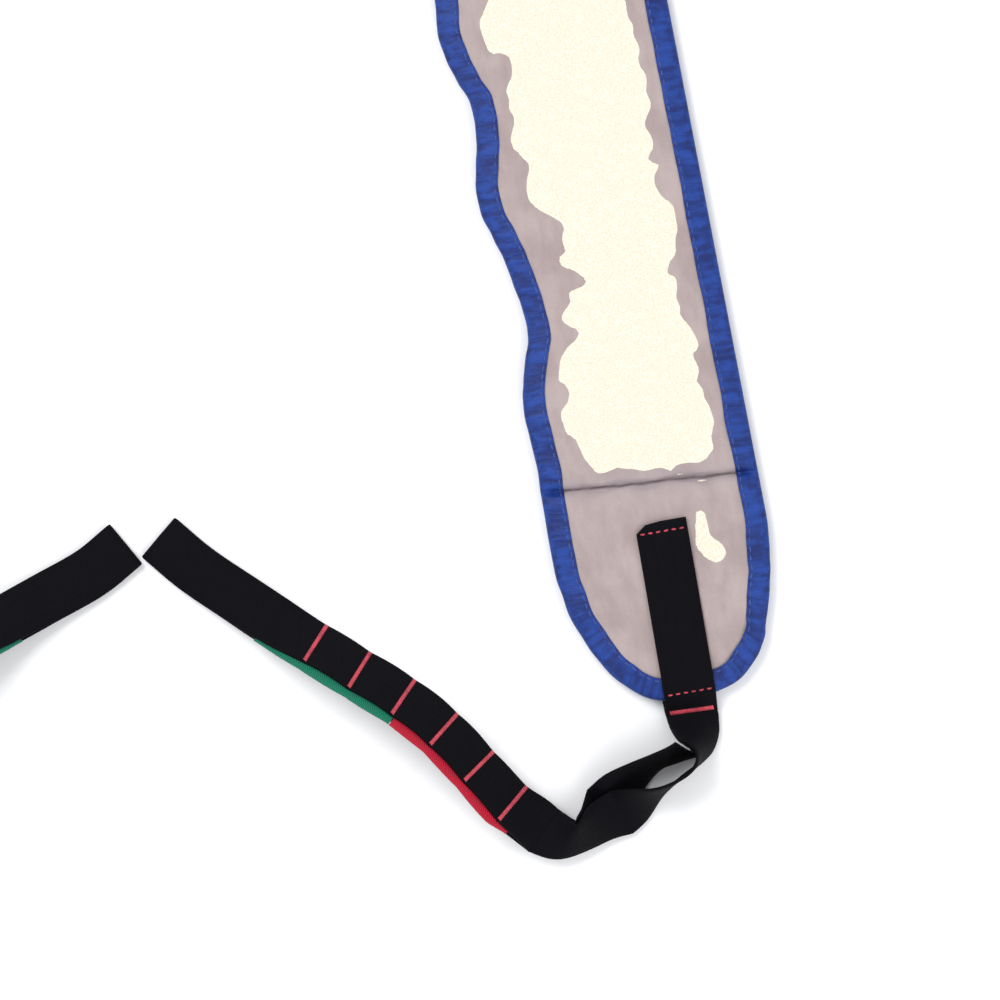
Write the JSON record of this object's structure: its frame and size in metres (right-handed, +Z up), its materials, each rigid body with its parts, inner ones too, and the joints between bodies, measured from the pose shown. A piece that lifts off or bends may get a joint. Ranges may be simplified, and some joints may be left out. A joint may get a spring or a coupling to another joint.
{
  "type": "padded transfer belt",
  "caption": "Padded body belt with bound edges and a webbing strap at each end that is tacked over coloured loops, lying open in a U.",
  "frame": {"origin": "middle of the belt as it lies, on the surface it rests on", "axes": "+Z up; the belt is alike on both sides of x = 0; +Y points to the back of the belt, the straps are at -Y"},
  "size_m": [0.6152, 0.5862, 0.1075],
  "materials": {
    "binding_tape": "woven satin tape, soft gloss",
    "black_webbing": "woven polyester webbing",
    "foam_pad": "closed-cell foam, matt",
    "green_webbing": "woven polyester webbing",
    "lining_fabric": "brushed suede-like fabric, matt",
    "red_thread": "bonded polyester thread",
    "red_webbing": "woven polyester webbing",
    "shell_fabric": "coated woven nylon, soft gloss"
  },
  "bodies": {
    "back": {"binding_inner_back": "binding_tape", "binding_outer_back": "binding_tape", "foam_back": "foam_pad", "lining_back": "lining_fabric", "load_webbing_back": "black_webbing", "shell_back": "shell_fabric"},
    "arm_right": {"binding_inner_arm_right": "binding_tape", "binding_outer_arm_right": "binding_tape", "foam_arm_right": "foam_pad", "lining_arm_right": "lining_fabric", "load_webbing_arm_right": "black_webbing", "shell_arm_right": "shell_fabric"},
    "end_right": {"binding_end_right": "binding_tape", "foam_end_right": "foam_pad", "lining_end_right": "lining_fabric", "load_webbing_end_right": "black_webbing", "root_bar_tack_right": "red_thread", "shell_end_right": "shell_fabric", "tail_stitching_right": "red_thread", "tail_webbing_right": "black_webbing"},
    "loop_right": {"loop_strand_inner_right": "black_webbing", "loop_strand_outer_right": "black_webbing"},
    "strap_right": {"ladder_base_right": "black_webbing", "ladder_top_right": "black_webbing", "webbing_red_right": "red_webbing", "webbing_green_right": "green_webbing", "bar_tacks_right": "red_thread"},
    "arm_left": {"binding_inner_arm_left": "binding_tape", "binding_outer_arm_left": "binding_tape", "foam_arm_left": "foam_pad", "lining_arm_left": "lining_fabric", "load_webbing_arm_left": "black_webbing", "shell_arm_left": "shell_fabric"},
    "end_left": {"binding_end_left": "binding_tape", "foam_end_left": "foam_pad", "lining_end_left": "lining_fabric", "load_webbing_end_left": "black_webbing", "root_bar_tack_left": "red_thread", "shell_end_left": "shell_fabric", "tail_stitching_left": "red_thread", "tail_webbing_left": "black_webbing"},
    "loop_left": {"loop_strand_inner_left": "black_webbing", "loop_strand_outer_left": "black_webbing"},
    "strap_left": {"ladder_base_left": "black_webbing", "ladder_top_left": "black_webbing", "webbing_red_left": "red_webbing", "webbing_green_left": "green_webbing", "bar_tacks_left": "red_thread"}
  },
  "joints": [
    {"name": "arm_opening_right", "type": "hinge", "parent": "back", "child": "arm_right", "pos_m": [0.092, 0.26549, 0], "axis": [0, 0, 1], "range_deg": [0, 35]},
    {"name": "end_fold_right", "type": "hinge", "parent": "arm_right", "child": "end_right", "pos_m": [0.24445, -0.10559, 0.01135], "axis": [-0.9945, -0.1045, 0], "range_deg": [0, 100]},
    {"name": "loop_swing_right", "type": "hinge", "parent": "end_right", "child": "loop_right", "pos_m": [0.27633, -0.23697, 0.01], "axis": [0, 0, 1], "range_deg": [0, 60]},
    {"name": "strap_unfold_right", "type": "hinge", "parent": "loop_right", "child": "strap_right", "pos_m": [0.20047, -0.27991, 0.01502], "axis": [0.5232, 0.7401, 0.4225], "range_deg": [0, 90]},
    {"name": "arm_opening_left", "type": "hinge", "parent": "back", "child": "arm_left", "pos_m": [-0.092, 0.26549, 0], "axis": [0, 0, -1], "range_deg": [0, 35]},
    {"name": "end_fold_left", "type": "hinge", "parent": "arm_left", "child": "end_left", "pos_m": [-0.24445, -0.10559, 0.01135], "axis": [-0.9945, 0.1045, 0], "range_deg": [0, 100]},
    {"name": "loop_swing_left", "type": "hinge", "parent": "end_left", "child": "loop_left", "pos_m": [-0.27633, -0.23697, 0.01], "axis": [0, 0, -1], "range_deg": [0, 60]},
    {"name": "strap_unfold_left", "type": "hinge", "parent": "loop_left", "child": "strap_left", "pos_m": [-0.20047, -0.27991, 0.01502], "axis": [0.5232, -0.7401, -0.4225], "range_deg": [0, 90]}
  ]
}
